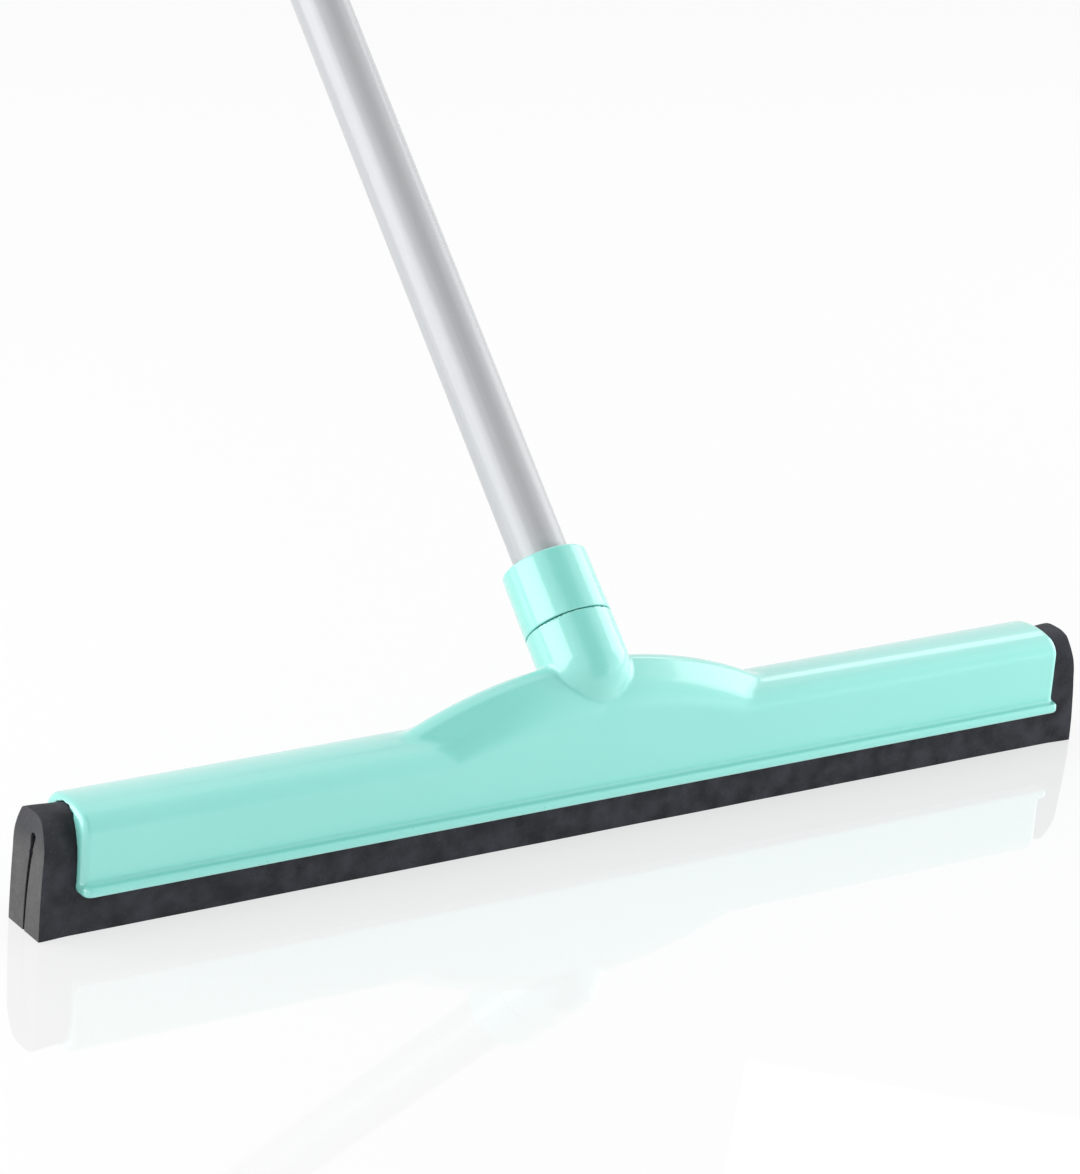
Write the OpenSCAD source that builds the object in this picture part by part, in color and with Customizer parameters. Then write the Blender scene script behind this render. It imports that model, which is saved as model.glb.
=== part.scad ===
// Floor squeegee: a moulded rail with a folded cellular rubber blade, and a pole clamped in a tilted socket.
// Millimetres. +X along the blade, +Y to the back, where the pole leans, +Z up.
// The origin is the middle of the blade's foot, on the floor.

/* [Blade] */
// Length of the folded rubber blade
blade_len = 450; // [300:5:750]
// Width across both leaves of the blade
blade_w = 20.6; // [18:0.2:24]
// Height of the blade from its foot to its fold
blade_h = 44.25; // [42:0.05:52]
// Height at which the leaves start to round towards the fold
blade_shoulder_z = 27; // [24:0.5:30]
// Radius of the arcs on which the leaves lean together
leaf_r = 29; // [25:0.5:34]
// Radius on the outside of the fold
fold_r = 11; // [9:0.5:14]
// Gap between the two leaves
slit_w = 0.5; // [0.3:0.05:0.6]
// Height of the eye that the fold leaves at the top of the slit
eye_z = 34; // [30:0.5:36]
// Radius of the eye
eye_r = 1.5; // [0.8:0.1:2.5]
// Length over which the slit widens into the eye
eye_taper = 7; // [4:0.5:12]
// How far each cut end curves in between foot and fold
end_lean = 3; // [1:0.5:6]

/* [Rail] */
// Length of blade that shows past each end of the rail
blade_overhang = 13.5; // [6:0.5:30]
// Wall of the moulded rail
rail_wall = 1.7; // [1.4:0.1:2.4]
// Space between wall and blade, bridged by the gripping ribs
rib_depth = 2.25; // [1.5:0.05:3]
// Height of the roof of the bays between the ribs
bay_roof_z = 40; // [36:0.5:41]
// Clearance between the blade and what grips it
blade_clear = 0.15; // [0.1:0.05:0.4]
// Radius of the rail's top shoulders
shoulder_r = 7.5; // [5:0.1:9]
// Radius of the crowned top between the shoulders
crown_r = 32; // [24:1:60]
// Thickness of each gripping rib
rib_t = 2; // [1.5:0.1:4]
// Distance between gripping ribs
rib_pitch = 34; // [20:1:60]
// Length of the closed frame at each end of the rail
end_frame = 6; // [3:0.5:12]
// Radius of the rail's upright corners, seen from above
end_round = 3; // [1:0.1:4]
// Radius of the rail's top corners, seen from the front
end_top_round = 4; // [1:0.1:6]
// Height of the lip's underside above the floor
lip_z = 16.2; // [12:0.2:20]
// Height of the lip
lip_h = 3.6; // [2.6:0.1:6]
// How far the lip stands out from the wall
lip_reach = 3.6; // [2:0.1:6]
// Radius of the lip's outer edges
lip_edge_r = 1.2; // [0.5:0.1:1.25]

/* [Hump] */
// Height of the hump's ridge above the rail's top
hump_rise = 17.6; // [14:0.2:20]
// Radius of the ridge, seen from the front
hump_r = 178; // [150:1:240]
// Radius across the ridge
ridge_r = 7; // [5:0.1:9]
// Height from the ridge down to the foot of its sloping flank
flank_drop = 9; // [8:0.5:14]
// Wall of the hump over its hollows
hump_wall = 2.4; // [1.8:0.1:3.5]
// Distance from the middle to the start of the hollows
core_start = 20; // [18:0.5:26]
// Distance from the middle to the end of the hollows
core_end = 62; // [50:1:66]
// Thickness of the web between two hollows
core_web = 2.2; // [1.5:0.1:4]

/* [Socket] */
// Lean of the socket and the pole, back from upright
socket_tilt = 47; // [35:1:55]
// Radius of the socket stub
socket_r = 16.6; // [15.6:0.1:18]
// Height above the rail's top of the middle of the stub's round end
ball_rise = 14.3; // [13:0.1:17]
// How far the stub's front lies behind the rail's front wall
stub_inset = 0.4; // [0.2:0.1:2]
// Distance along the pole from the middle of the round end to the seam under the collar
seam_u = 16; // [14:0.5:24]
// Depth of the pole below the middle of the round end
pole_sink = 6; // [2:0.5:7]

/* [Clamp] */
// Length of the locking collar
collar_len = 25.8; // [23:0.2:34]
// How much narrower the collar's radius is at its top
collar_taper = 0.4; // [0.1:0.1:1]
// Width of the seam between the collar and the stub
seam_gap = 0.4; // [0.3:0.1:1]
// Radius of the collar's top edge
collar_edge_r = 1; // [0.5:0.1:2]
// Bevel along the seam
seam_bevel = 0.3; // [0.1:0.05:0.6]
// Radius of the threaded neck inside the collar
neck_r = 13.4; // [13.2:0.1:14]
// Length of the neck above the seam
neck_len = 18; // [16:0.5:20]
// Clearance between neck and collar, where the thread runs
thread_clear = 0.3; // [0.2:0.05:0.5]
// Length of the collet's cone inside the neck
collet_len = 9; // [6:0.5:12]
// Radius of the collet's cone at its small end
collet_low_r = 11.4; // [11.2:0.1:11.6]
// Radius of the collet's cone at its large end
collet_top_r = 12.2; // [11.8:0.1:12.4]
// Height of the collet's flange above the neck
collet_flange = 2; // [1.5:0.1:3]
// Width of the slot that splits the collet
collet_slot = 2.5; // [1.5:0.1:4]
// Number of short relief slots in the collet's cone
collet_reliefs = 3; // [1:1:5]
// Width of a relief slot
relief_w = 1.2; // [0.8:0.1:2]
// Length of a relief slot, from the cone's small end
relief_len = 6; // [3:0.5:8]
// Clearance between the collet and its seat
seat_clear = 0.3; // [0.2:0.05:0.5]
// Clearance between the pole and the collet
grip_clear = 0.1; // [0.05:0.01:0.1]
// Clearance between the pole and the socket or collar
pole_clear = 0.3; // [0.2:0.05:0.5]

/* [Pole] */
// Diameter of the pole
pole_d = 21; // [20:0.1:21.4]
// Wall of the tube
pole_wall = 0.9; // [0.7:0.1:1.2]
// Length of the tube
pole_len = 1300; // [900:10:1600]
// Thickness of the flange of the plug in the pole's foot
plug_flange = 2; // [1:0.5:4]
// Length of the plug inside the tube
plug_len = 15; // [8:1:30]
// Wall of the plug
plug_wall = 2; // [1.5:0.1:3]
// Clearance of plug and grip on the tube
press_clear = 0.05; // [0.02:0.01:0.1]

/* [Grip] */
// Length of the grip over the tube
grip_len = 105; // [60:5:160]
// Wall of the grip
grip_wall = 2.2; // [1.8:0.1:3.5]
// Bevel at the grip's lower edge
grip_bevel = 1.2; // [0.5:0.1:1.6]
// Thickness of the grip's closed end over the tube
grip_end = 4; // [3:0.5:8]
// Number of finger grooves round the grip
groove_count = 7; // [3:1:9]
// Distance between finger grooves
groove_pitch = 11; // [8:0.5:14]
// Depth of a finger groove
groove_depth = 0.8; // [0.4:0.1:1.2]
// Radius of a finger groove's round bottom
groove_r = 2; // [1.5:0.1:3]
// Thickness of the hanging tab
tab_t = 11; // [7:0.5:14]
// Height of the eye's middle above the grip's closed end
tab_rise = 9; // [7:0.5:16]
// Diameter of the hanging eye
hang_d = 9; // [6:0.5:12]

/* [Hidden] */
$fn = 96;
past = 1;
// The hump's flanks end a little inside its round ridge, so that they cut it and don't just touch it
ridge_bite = 0.985;

mint = [0.62, 0.90, 0.86];
foam_black = [0.16, 0.16, 0.17];
silver = [0.80, 0.80, 0.82];
natural = [0.92, 0.92, 0.88];

// The rail is built round the blade
rail_len = blade_len - 2 * blade_overhang;
rail_half = blade_w / 2 + blade_clear + rib_depth + rail_wall;
rail_h = blade_h + blade_clear + rail_wall;
lip_half = rail_half + lip_reach;
wall_low = lip_z + lip_h / 2;
bay_count = floor((rail_len - 2 * end_frame + rib_t) / rib_pitch);
bay_step = (rail_len - 2 * end_frame + rib_t) / bay_count;

// The hump's ridge is an arc, and the stub's front lies just behind the front wall
hump_top = rail_h + hump_rise;
ball_y = socket_r - rail_half + stub_inset;
ball_z = rail_h + ball_rise;

// Places along the pole, from the middle of the stub's round end
pole_r = pole_d / 2;
tube_bore_r = pole_r - pole_wall;
neck_top = seam_u + neck_len;
collar_low = seam_u + seam_gap;
collar_top = seam_u + collar_len;
collet_low = neck_top - collet_len;
collet_high = neck_top + collet_flange;
tube_low = plug_flange - pole_sink;
tube_top = tube_low + pole_len;
grip_r = pole_r + press_clear + grip_wall;
grip_low = tube_top - grip_len;
grip_top = tube_top + grip_end;
eye_u = grip_top + tab_rise;
groove_low = tube_top - grip_end - (groove_count - 1) * groove_pitch;

// Moves a shape to the pole's axis, at distance u from the middle of the stub's round end
module on_pole(u = 0) {
    translate([0, ball_y, ball_z])
        rotate([-socket_tilt, 0, 0])
            translate([0, 0, u])
                children();
}

// Draws an outline in Y and Z and runs it along X
module along_x(length) {
    rotate([90, 0, 90])
        linear_extrude(height = length, center = true)
            children();
}

// Draws an outline in X and Z and runs it along Y
module along_y(length) {
    rotate([90, 0, 0])
        linear_extrude(height = length, center = true)
            children();
}

// A rectangle with round corners, centred
module round_rect(w, h, r) {
    square([w, h - 2 * r], center = true);
    square([w - 2 * r, h], center = true);
    for (x = [-1, 1], y = [-1, 1])
        translate([x * (w / 2 - r), y * (h / 2 - r)])
            circle(r);
}

// The blade's section: upright leaves that lean together on large arcs under a round fold
module blade_outline(grow = 0) {
    half = blade_w / 2 + grow;
    side_r = leaf_r + grow;
    fold_z = blade_h - fold_r;
    translate([-half, -grow])
        square([2 * half, blade_shoulder_z + grow]);
    intersection() {
        translate([half - side_r, blade_shoulder_z])
            circle(side_r, $fn = 180);
        translate([side_r - half, blade_shoulder_z])
            circle(side_r, $fn = 180);
        union() {
            translate([0, fold_z])
                circle(fold_r + grow);
            translate([-half, blade_shoulder_z])
                square([2 * half, fold_z - blade_shoulder_z]);
        }
        translate([-half, blade_shoulder_z])
            square([2 * half, blade_h]);
    }
}

// The rail's section: upright walls, round shoulders and a crowned top, set in by inset
module rail_outline(inset, low) {
    half = rail_half - inset;
    edge_r = shoulder_r - inset;
    top_r = crown_r - inset;
    crown_z = rail_h - crown_r;
    edge_y = half - edge_r;
    edge_z = crown_z + sqrt(pow(crown_r - shoulder_r, 2) - edge_y * edge_y);
    meet_y = top_r * edge_y / (crown_r - shoulder_r);
    translate([-half, low])
        square([2 * half, edge_z - low]);
    for (y = [-edge_y, edge_y])
        translate([y, edge_z])
            circle(edge_r);
    intersection() {
        translate([0, crown_z])
            circle(top_r, $fn = 180);
        translate([-meet_y, edge_z])
            square([2 * meet_y, rail_h - edge_z]);
    }
}

// The hump's section as it turns about its centre: a round ridge and two sloping flanks
module hump_outline(inset, depth) {
    round_r = ridge_r - inset;
    round_x = hump_r - ridge_r;
    half = rail_half - inset;
    foot_x = hump_r - flank_drop - inset;
    reach = norm([foot_x - round_x, half]);
    touch = atan2(half, foot_x - round_x) - acos(round_r / reach);
    touch_x = round_x + ridge_bite * round_r * cos(touch);
    touch_y = ridge_bite * round_r * sin(touch);
    translate([round_x, 0])
        circle(round_r);
    polygon([
        [touch_x, touch_y], [foot_x, half], [hump_r - depth, half],
        [hump_r - depth, -half], [foot_x, -half], [touch_x, -touch_y]
    ]);
}

module hump_solid(inset, depth) {
    translate([0, 0, hump_top - hump_r])
        rotate([90, 0, 0])
            rotate_extrude($fn = 360)
                hump_outline(inset, depth);
}

// The walls of the rail, with their upright and top corners rounded
module rail_walls() {
    wall_h = rail_h - wall_low;
    intersection() {
        along_x(rail_len)
            rail_outline(0, wall_low);
        translate([0, 0, wall_low])
            linear_extrude(height = wall_h)
                round_rect(rail_len, 2 * rail_half, end_round);
        along_y(2 * rail_half)
            translate([0, rail_h / 2])
                round_rect(rail_len, rail_h, end_top_round);
    }
}

// The lip that stiffens the foot of the walls
module rail_lip() {
    intersection() {
        along_x(rail_len)
            translate([0, lip_z + lip_h / 2])
                round_rect(2 * lip_half, lip_h, lip_edge_r);
        translate([0, 0, lip_z])
            linear_extrude(height = lip_h)
                round_rect(rail_len, 2 * lip_half, end_round);
    }
}

module hump() {
    span = sqrt(hump_r * hump_r - pow(hump_r - hump_rise - shoulder_r, 2));
    depth = hump_top - wall_low;
    intersection() {
        hump_solid(0, depth);
        translate([-span, -rail_half - past, rail_h - shoulder_r])
            cube([2 * span, 2 * (rail_half + past), hump_rise + shoulder_r + past]);
    }
}

// The stub, with a round end in the hump, a bevel at the seam and the neck above it
module socket_stub() {
    on_pole()
        rotate_extrude() {
            intersection() {
                circle(socket_r);
                translate([0, -socket_r])
                    square(socket_r);
            }
            polygon([
                [0, 0], [socket_r, 0],
                [socket_r, seam_u - seam_bevel], [socket_r - seam_bevel, seam_u],
                [neck_r, seam_u], [neck_r, neck_top], [0, neck_top]
            ]);
        }
}

// Room for the blade, and a bay in the walls between each pair of gripping ribs
module blade_room() {
    along_x(rail_len + 2 * past)
        blade_outline(blade_clear);
    for (i = [0 : bay_count - 1])
        translate([-rail_len / 2 + end_frame + (i + 0.5) * bay_step - rib_t / 2, 0, 0])
            along_x(bay_step - rib_t)
                intersection() {
                    rail_outline(rail_wall, lip_z + lip_h);
                    translate([-rail_half, 0])
                        square([2 * rail_half, bay_roof_z]);
                }
}

// Hollows in the hump on both sides of the socket, with a web between them
module hump_hollows() {
    low = rail_h - rail_wall - shoulder_r;
    length = (core_end - core_start - core_web) / 2;
    for (side = [-1, 1], start = [core_start, core_end - length])
        intersection() {
            hump_solid(hump_wall, hump_top - low);
            translate([side > 0 ? start : -start - length, -rail_half, low])
                cube([length, 2 * rail_half, hump_top - low]);
        }
}

module head_body() {
    color(mint)
        difference() {
            union() {
                rail_walls();
                rail_lip();
                hump();
                socket_stub();
            }
            blade_room();
            hump_hollows();
            on_pole(-pole_sink)
                cylinder(r = pole_r + pole_clear, h = pole_sink + neck_top + past);
            on_pole(collet_low - seat_clear)
                cylinder(
                    r1 = collet_low_r + seat_clear,
                    r2 = collet_top_r + seat_clear,
                    h = collet_len + seat_clear
                );
        }
}

// One strip folded over, with the slit between its leaves and the eye in its fold
module foam_blade() {
    half = blade_len / 2;
    end_r = (blade_h * blade_h + end_lean * end_lean) / (2 * end_lean);
    color(foam_black)
        difference() {
            intersection() {
                along_x(blade_len)
                    blade_outline();
                along_y(blade_w + 2 * past)
                    intersection() {
                        translate([half - end_r, 0])
                            circle(end_r, $fn = 360);
                        translate([end_r - half, 0])
                            circle(end_r, $fn = 360);
                    }
            }
            along_x(blade_len + 2 * past) {
                translate([-slit_w / 2, -past])
                    square([slit_w, eye_z + past]);
                translate([0, eye_z])
                    circle(eye_r);
                polygon([
                    [-slit_w / 2, eye_z - eye_taper], [slit_w / 2, eye_z - eye_taper],
                    [eye_r, eye_z], [-eye_r, eye_z]
                ]);
            }
        }
}

// A split cone that the collar presses onto the pole
module clamp_collet() {
    bore = pole_r + grip_clear;
    color(natural)
        on_pole()
            difference() {
                union() {
                    translate([0, 0, collet_low])
                        cylinder(r1 = collet_low_r, r2 = collet_top_r, h = collet_len);
                    translate([0, 0, neck_top])
                        cylinder(r = collet_top_r + seat_clear, h = collet_flange);
                }
                translate([0, 0, collet_low - past])
                    cylinder(r = bore, h = collet_len + collet_flange + 2 * past);
                translate([-collet_slot / 2, 0, collet_low - past])
                    cube([collet_slot, socket_r, collet_len + collet_flange + 2 * past]);
                for (i = [1 : collet_reliefs])
                    rotate(i * 360 / (collet_reliefs + 1))
                        translate([-relief_w / 2, 0, collet_low - past])
                            cube([relief_w, socket_r, relief_len + past]);
            }
}

// The locking ring, whose top flange bears on the collet
module lock_collar() {
    low_r = socket_r;
    top_r = socket_r - collar_taper;
    color(mint)
        on_pole()
            difference() {
                union() {
                    translate([0, 0, collar_low])
                        cylinder(r1 = low_r - seam_bevel, r2 = low_r, h = seam_bevel);
                    translate([0, 0, collar_low + seam_bevel])
                        cylinder(
                            r1 = low_r, r2 = top_r,
                            h = collar_top - collar_edge_r - collar_low - seam_bevel
                        );
                    translate([0, 0, collar_top - collar_edge_r])
                        rotate_extrude() {
                            square([top_r - collar_edge_r, collar_edge_r]);
                            translate([top_r - collar_edge_r, 0])
                                intersection() {
                                    circle(collar_edge_r);
                                    square(collar_edge_r);
                                }
                        }
                }
                translate([0, 0, collar_low - past])
                    cylinder(
                        r = neck_r + thread_clear,
                        h = collet_high - collar_low + past
                    );
                translate([0, 0, collar_low])
                    cylinder(r = pole_r + pole_clear, h = collar_len + past);
            }
}

module pole_tube() {
    color(silver)
        on_pole(tube_low)
            difference() {
                cylinder(r = pole_r, h = pole_len);
                translate([0, 0, -past])
                    cylinder(r = tube_bore_r, h = pole_len + 2 * past);
            }
}

// A cup that closes the tube's lower end
module pole_foot_plug() {
    spigot_r = tube_bore_r - press_clear;
    color(natural)
        on_pole(-pole_sink)
            difference() {
                union() {
                    cylinder(r = pole_r, h = plug_flange);
                    cylinder(r = spigot_r, h = plug_flange + plug_len);
                }
                translate([0, 0, plug_flange])
                    cylinder(r = spigot_r - plug_wall, h = plug_len + past);
            }
}

// The hand grip over the tube's upper end, closed by a tab with a hanging eye
module grip_cap() {
    color(mint)
        on_pole()
            difference() {
                union() {
                    translate([0, 0, grip_low])
                        cylinder(r1 = grip_r - grip_bevel, r2 = grip_r, h = grip_bevel);
                    translate([0, 0, grip_low + grip_bevel])
                        cylinder(r = grip_r, h = grip_top - 2 * grip_bevel - grip_low);
                    translate([0, 0, grip_top - grip_bevel])
                        cylinder(r1 = grip_r, r2 = grip_r - grip_bevel, h = grip_bevel);
                    rotate([90, 0, 90])
                        linear_extrude(height = tab_t, center = true) {
                            translate([grip_bevel - grip_r, grip_top - grip_bevel])
                                square([2 * (grip_r - grip_bevel), eye_u - grip_top + grip_bevel]);
                            translate([0, eye_u])
                                circle(grip_r - grip_bevel);
                        }
                }
                translate([0, 0, grip_low - past])
                    cylinder(r = pole_r + press_clear, h = tube_top - grip_low + past);
                for (i = [0 : groove_count - 1])
                    translate([0, 0, groove_low + i * groove_pitch])
                        rotate_extrude()
                            translate([grip_r + groove_r - groove_depth, 0])
                                circle(groove_r, $fn = 48);
                translate([-tab_t, 0, eye_u])
                    rotate([0, 90, 0])
                        cylinder(d = hang_d, h = 2 * tab_t);
            }
}

head_body();
foam_blade();
clamp_collet();
lock_collar();
pole_tube();
pole_foot_plug();
grip_cap();
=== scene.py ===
import math

import bmesh
import bpy
import numpy as np
from mathutils import Matrix, Vector, noise


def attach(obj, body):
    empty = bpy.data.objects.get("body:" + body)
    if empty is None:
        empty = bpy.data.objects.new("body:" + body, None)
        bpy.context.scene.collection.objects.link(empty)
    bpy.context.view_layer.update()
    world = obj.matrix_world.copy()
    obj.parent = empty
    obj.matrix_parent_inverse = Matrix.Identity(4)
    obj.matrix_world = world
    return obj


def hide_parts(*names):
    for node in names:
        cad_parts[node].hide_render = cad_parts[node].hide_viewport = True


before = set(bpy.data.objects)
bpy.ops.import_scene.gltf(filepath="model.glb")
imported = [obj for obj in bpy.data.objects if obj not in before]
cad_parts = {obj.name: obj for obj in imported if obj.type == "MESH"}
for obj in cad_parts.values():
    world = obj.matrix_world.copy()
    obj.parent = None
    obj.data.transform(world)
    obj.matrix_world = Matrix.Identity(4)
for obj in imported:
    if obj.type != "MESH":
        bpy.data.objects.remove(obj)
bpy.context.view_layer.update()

bl_info = {
    "name": "Floor Squeegee",
    "version": (1, 0, 0),
    "blender": (4, 5, 0),
    "location": "View3D > Sidebar > Squeegee",
    "description": "Dresses a floor squeegee: moulded head, rubber blade, clamped pole and white studio",
    "category": "Object",
}

MM = 0.001

# Shared sizes of the part, in millimetres
POLE_TILT = math.radians(47)
POLE_DIR = (0.0, math.sin(POLE_TILT), math.cos(POLE_TILT))
BALL = (0.0, 2.6, 60.4)
RAIL_HALF_LEN = 211.5
RAIL_HALF = 14.4
RAIL_TOP = 46.1
SHOULDER_R = 7.5
CROWN_R = 32.0
LIP_LOW, LIP_HIGH, LIP_HALF = 16.2, 19.8, 18.0
HUMP_TOP = 63.7
HUMP_R = 178.0
RIDGE_R = 7.0
FLANK_DROP = 9.0
STUB_R, SEAM_U = 16.6, 16.0
NECK_R, NECK_TOP = 13.4, 34.0
BORE_R, BORE_LOW = 10.8, -6.0
SEAT_LOW, SEAT_LOW_R, SEAT_TOP_R = 24.7, 11.7, 12.5
BLADE_HALF_LEN = 225.0
BLADE_HALF = 10.3
BLADE_TOP = 44.25
BLADE_SHOULDER = 27.0
LEAF_R, FOLD_R = 29.0, 11.0
EYE_Z, EYE_R = 34.0, 1.5
SLIT_HALF = 0.25
CHANNEL_CLEAR = 0.15

# How the head's skin is divided, in millimetres: finer at the rail's ends, coarser on its plain lengths
END_CELL_SHARE = 0.55
END_RUN = 8.0
HUMP_REACH = 98.0
PLAIN_CELL = 3.2
SOCKET_BACK, SOCKET_TOP = 41.0, 97.0

# The flank is FLANK_MORE times as round in the hump's middle, and once less from FLANK_RUN millimetres out
FLANK_MORE, FLANK_RUN = 1.6, 75.0
LEAST_FILLET = 0.02
LEAST_SLOPE = 0.05

# How the blade's strip is divided: rows across it, layers through it, and (start, end, step) from its ends
LEAF_ROWS, FOLD_ROWS, LAYERS = 14, 20, 6
OUTLINE_POINTS, EYE_POINTS = 400, 60
END_STEPS = ((0, 4, 1.0), (4, 16, 2.0), (16, BLADE_HALF_LEN, 6.5))

# How the blade's unevenness fades: shares of the flare, millimetres, and powers of the place along the blade
FLARE_FOOT, FLARE_EYE, EYE_ZONE = 0.3, 0.1, 5.0
GRIP_MARGIN = 1.0
DISH_POWER, SKEW_POWER = 40, 6
RIPPLE_ALONG, RIPPLE_ACROSS, RIPPLE_DRAW = 34.0, 60.0, 0.3
RIPPLE_CLEAR, RIPPLE_RISE = 1.0, 6.0
EDGE_SEGMENTS, EDGE_ANGLE = 3, math.radians(50)

# The photograph's camera: place in millimetres, axes, and focal length in its pixels
EYE = (-895.2, -1235.3, 665.4)
CAMERA_RIGHT = (0.83147, -0.54999, 0.07863)
CAMERA_UP = (0.13392, 0.33575, 0.93240)
FOCAL_PX = 4564.57
PHOTO_TALL_PX = 1174
SENSOR_MM = 36.0

# Gloss mirrors a dark gap in front, behind the camera, from floor to overhead: this points across it
GAP_ACROSS = (0.995, 0.0995, 0.0)

# Where the gap fades out: to its sides, and from front to back
GAP_SIDES = (0.2, 0.55)
GAP_BACK = (-0.15, 0.15)

# The stage, in metres: the floor's half width, how far the camera sees, and each lamp's place, aim and size
FLOOR_HALF = 12.0
SIGHT = 40.0
LAMPS = {
    "right_lamp": ((1.35, -0.05, 0.55), (0.05, 0.0, 0.05), (1.0, 1.0)),
    "left_lamp": ((-1.25, 0.46, 0.62), (0.0, 0.0, 0.1), (1.6, 1.15)),
    "edge_lamp": ((0.69, 0.52, 0.58), (0.13, 0.0, 0.045), (0.3, 0.12)),
    "front_fill": ((1.1, -0.85, 0.2), (0.15, 0.0, 0.03), (1.1, 0.34)),
}


def linear(code):
    """Turns an sRGB hex code into linear RGBA."""
    values = [int(code[i:i + 2], 16) / 255 for i in (1, 3, 5)]
    return tuple(v / 12.92 if v <= 0.04045 else ((v + 0.055) / 1.055) ** 2.4 for v in values) + (1.0,)


def per_mm(size):
    """Scale of a pattern in object space, in metres, whose features are size millimetres wide."""
    return 1 / (size * MM)


def add_node(tree, kind, inputs=None, **settings):
    """Adds a node with its settings, and fills each input with a value or a link."""
    node = tree.nodes.new(kind)
    for name, value in settings.items():
        setattr(node, name, value)
    for name, value in (inputs or {}).items():
        if isinstance(value, bpy.types.NodeSocket):
            tree.links.new(value, node.inputs[name])
        else:
            node.inputs[name].default_value = value
    return node


def new_material(name):
    """An empty node material and its output node."""
    material = bpy.data.materials.new(name)
    material.use_nodes = True
    tree = material.node_tree
    tree.nodes.clear()
    return material, tree, add_node(tree, "ShaderNodeOutputMaterial")


def mint_polypropylene(look):
    """Injection-moulded polypropylene from a polished, faintly sparked mould."""
    # Glossy, with a smooth skin: bright clear-edged highlights over one even, slightly milky colour
    material, tree, out = new_material("mint_polypropylene")
    place = add_node(tree, "ShaderNodeTexCoord").outputs["Object"]
    flow = add_node(tree, "ShaderNodeTexNoise", {"Vector": place, "Scale": per_mm(70), "Detail": 2.0})
    tone = add_node(tree, "ShaderNodeMix", {
        0: flow.outputs["Fac"], 6: linear(look.mint_deep), 7: linear(look.mint_pale),
    }, data_type="RGBA")
    polish = add_node(tree, "ShaderNodeTexNoise", {"Vector": place, "Scale": per_mm(5), "Detail": 3.0})
    gloss = add_node(tree, "ShaderNodeMapRange", {
        "Value": polish.outputs["Fac"], "To Min": look.mint_gloss - 0.05, "To Max": look.mint_gloss + 0.05,
    })
    sink = add_node(tree, "ShaderNodeTexNoise", {"Vector": place, "Scale": per_mm(38), "Detail": 1.0})
    wave = add_node(tree, "ShaderNodeBump", {
        "Height": sink.outputs["Fac"], "Strength": 0.35, "Distance": 0.6 * MM,
    })
    grain = add_node(tree, "ShaderNodeTexNoise", {"Vector": place, "Scale": per_mm(0.6), "Detail": 2.0})
    skin = add_node(tree, "ShaderNodeBump", {
        "Height": grain.outputs["Fac"], "Strength": 0.08, "Distance": 0.04 * MM,
        "Normal": wave.outputs["Normal"],
    })
    shader = add_node(tree, "ShaderNodeBsdfPrincipled", {
        "Base Color": tone.outputs[2], "Roughness": gloss.outputs["Result"], "IOR": 1.49,
        "Subsurface Weight": 0.12, "Subsurface Radius": (1.0, 1.0, 1.0), "Subsurface Scale": 1.5 * MM,
        "Specular IOR Level": 0.9, "Coat Weight": 1.0, "Coat Roughness": 0.08,
        "Normal": skin.outputs["Normal"],
    })
    tree.links.new(shader.outputs["BSDF"], out.inputs["Surface"])
    return material


def natural_polypropylene(look):
    """Unpigmented polypropylene, moulded, for the pieces inside the clamp."""
    # Milky and soft-edged: light goes some way in, so edges and slots look faintly lit
    material, tree, out = new_material("natural_polypropylene")
    place = add_node(tree, "ShaderNodeTexCoord").outputs["Object"]
    cloud = add_node(tree, "ShaderNodeTexNoise", {"Vector": place, "Scale": per_mm(12), "Detail": 2.0})
    tone = add_node(tree, "ShaderNodeMix", {
        0: cloud.outputs["Fac"], 6: linear(look.natural_deep), 7: linear(look.natural_pale),
    }, data_type="RGBA")
    grain = add_node(tree, "ShaderNodeTexNoise", {"Vector": place, "Scale": per_mm(0.5), "Detail": 2.0})
    skin = add_node(tree, "ShaderNodeBump", {
        "Height": grain.outputs["Fac"], "Strength": 0.1, "Distance": 0.05 * MM,
    })
    shader = add_node(tree, "ShaderNodeBsdfPrincipled", {
        "Base Color": tone.outputs[2], "Roughness": 0.42, "IOR": 1.49, "Subsurface Weight": 0.35,
        "Subsurface Radius": (1.0, 1.0, 0.9), "Subsurface Scale": 2.0 * MM, "Normal": skin.outputs["Normal"],
    })
    tree.links.new(shader.outputs["BSDF"], out.inputs["Surface"])
    return material


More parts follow.
